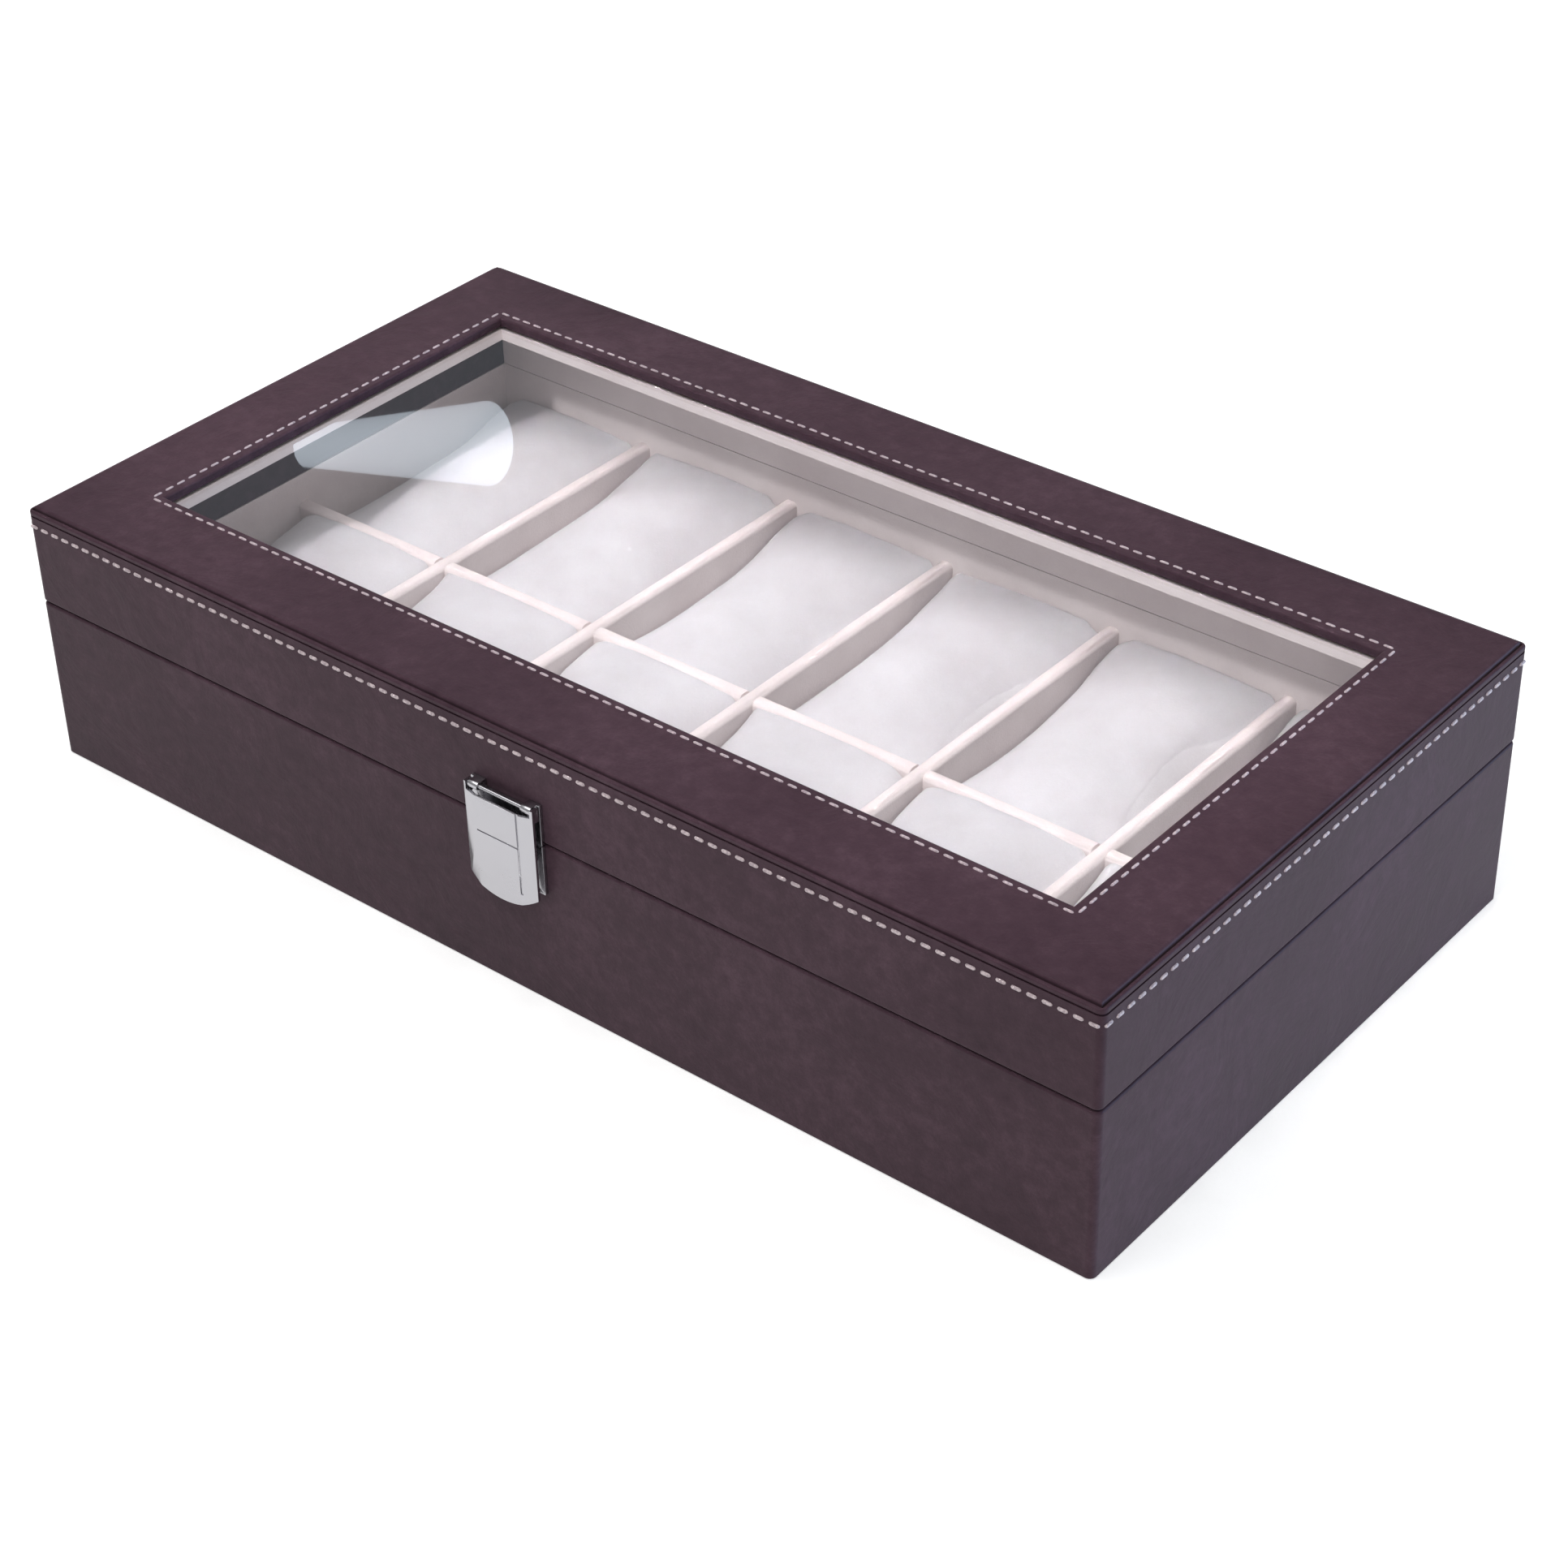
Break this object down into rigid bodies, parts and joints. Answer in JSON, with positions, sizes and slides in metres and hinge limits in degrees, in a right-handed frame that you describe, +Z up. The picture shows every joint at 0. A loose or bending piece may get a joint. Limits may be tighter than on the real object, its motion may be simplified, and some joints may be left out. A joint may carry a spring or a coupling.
{
  "type": "watch box",
  "caption": "Brown leather-covered watch box with a glazed hinged lid, a spring-flap latch and cream cushions in a divided tray.",
  "frame": {"origin": "centre of the underside", "axes": "+X right along the front, +Y to the back where the hinges are, +Z up"},
  "size_m": [0.36, 0.1987, 0.0815],
  "materials": {
    "brown_leather": "matte",
    "cream_lining": "matte",
    "cream_velvet": "matte",
    "dark_felt": "matte",
    "clear_glass": "gloss",
    "polished_metal": "gloss",
    "plated_hinge": "satin",
    "fibreboard": "matte"
  },
  "bodies": {
    "base_box": {"base_leather_wrap": "brown_leather", "base_felt": "dark_felt", "base_bottom_board": "fibreboard", "floor_lining": "cream_lining", "base_front_wall": "fibreboard", "base_back_wall": "fibreboard", "base_left_wall": "fibreboard", "base_right_wall": "fibreboard", "base_front_lining": "cream_lining", "base_back_lining": "cream_lining", "base_left_lining": "cream_lining", "base_right_lining": "cream_lining", "long_divider": "cream_lining", "cross_divider_1": "cream_lining", "cross_divider_2": "cream_lining", "cross_divider_3": "cream_lining", "cross_divider_4": "cream_lining", "cross_divider_5": "cream_lining", "hinge_base_leaf_left": "plated_hinge", "hinge_base_leaf_right": "plated_hinge", "hinge_pin_left": "plated_hinge", "hinge_pin_right": "plated_hinge", "hinge_base_screws": "plated_hinge", "latch_base_plate": "polished_metal", "latch_base_rivets": "polished_metal"},
    "lid": {"lid_leather_wrap": "brown_leather", "lid_top_leather": "brown_leather", "lid_front_wall": "fibreboard", "lid_back_wall": "fibreboard", "lid_left_wall": "fibreboard", "lid_right_wall": "fibreboard", "lid_front_lining": "cream_lining", "lid_back_lining": "cream_lining", "lid_left_lining": "brown_leather", "lid_right_lining": "brown_leather", "lid_top_board": "fibreboard", "window_glass": "clear_glass", "window_bezel": "cream_lining", "hinge_lid_leaf_left": "plated_hinge", "hinge_lid_leaf_right": "plated_hinge", "hinge_lid_screws": "plated_hinge", "latch_lid_plate": "polished_metal", "latch_axle": "polished_metal", "latch_lid_rivets": "polished_metal"},
    "latch_flap": {"latch_flap": "polished_metal"},
    "cushion_front_1": {"cushion_front_1": "cream_velvet"},
    "cushion_front_2": {"cushion_front_2": "cream_velvet"},
    "cushion_front_3": {"cushion_front_3": "cream_velvet"},
    "cushion_front_4": {"cushion_front_4": "cream_velvet"},
    "cushion_front_5": {"cushion_front_5": "cream_velvet"},
    "cushion_front_6": {"cushion_front_6": "cream_velvet"},
    "cushion_back_1": {"cushion_back_1": "cream_velvet"},
    "cushion_back_2": {"cushion_back_2": "cream_velvet"},
    "cushion_back_3": {"cushion_back_3": "cream_velvet"},
    "cushion_back_4": {"cushion_back_4": "cream_velvet"},
    "cushion_back_5": {"cushion_back_5": "cream_velvet"},
    "cushion_back_6": {"cushion_back_6": "cream_velvet"}
  },
  "joints": [
    {"name": "lid_hinge", "type": "hinge", "parent": "base_box", "child": "lid", "pos_m": [0, 0.097, 0.05115], "axis": [-1, 0, 0], "range_deg": [0, 95]},
    {"name": "latch_hinge", "type": "hinge", "parent": "lid", "child": "latch_flap", "pos_m": [0, -0.0972, 0.0624], "axis": [-1, 0, 0], "range_deg": [0, 95]},
    {"name": "cushion_front_1_lift", "type": "slide", "parent": "base_box", "child": "cushion_front_1", "axis": [0, 0, 1], "range_m": [0, 0.027]},
    {"name": "cushion_front_2_lift", "type": "slide", "parent": "base_box", "child": "cushion_front_2", "axis": [0, 0, 1], "range_m": [0, 0.027]},
    {"name": "cushion_front_3_lift", "type": "slide", "parent": "base_box", "child": "cushion_front_3", "axis": [0, 0, 1], "range_m": [0, 0.027]},
    {"name": "cushion_front_4_lift", "type": "slide", "parent": "base_box", "child": "cushion_front_4", "axis": [0, 0, 1], "range_m": [0, 0.027]},
    {"name": "cushion_front_5_lift", "type": "slide", "parent": "base_box", "child": "cushion_front_5", "axis": [0, 0, 1], "range_m": [0, 0.027]},
    {"name": "cushion_front_6_lift", "type": "slide", "parent": "base_box", "child": "cushion_front_6", "axis": [0, 0, 1], "range_m": [0, 0.027]},
    {"name": "cushion_back_1_lift", "type": "slide", "parent": "base_box", "child": "cushion_back_1", "axis": [0, 0, 1], "range_m": [0, 0.027]},
    {"name": "cushion_back_2_lift", "type": "slide", "parent": "base_box", "child": "cushion_back_2", "axis": [0, 0, 1], "range_m": [0, 0.027]},
    {"name": "cushion_back_3_lift", "type": "slide", "parent": "base_box", "child": "cushion_back_3", "axis": [0, 0, 1], "range_m": [0, 0.027]},
    {"name": "cushion_back_4_lift", "type": "slide", "parent": "base_box", "child": "cushion_back_4", "axis": [0, 0, 1], "range_m": [0, 0.027]},
    {"name": "cushion_back_5_lift", "type": "slide", "parent": "base_box", "child": "cushion_back_5", "axis": [0, 0, 1], "range_m": [0, 0.027]},
    {"name": "cushion_back_6_lift", "type": "slide", "parent": "base_box", "child": "cushion_back_6", "axis": [0, 0, 1], "range_m": [0, 0.027]}
  ]
}
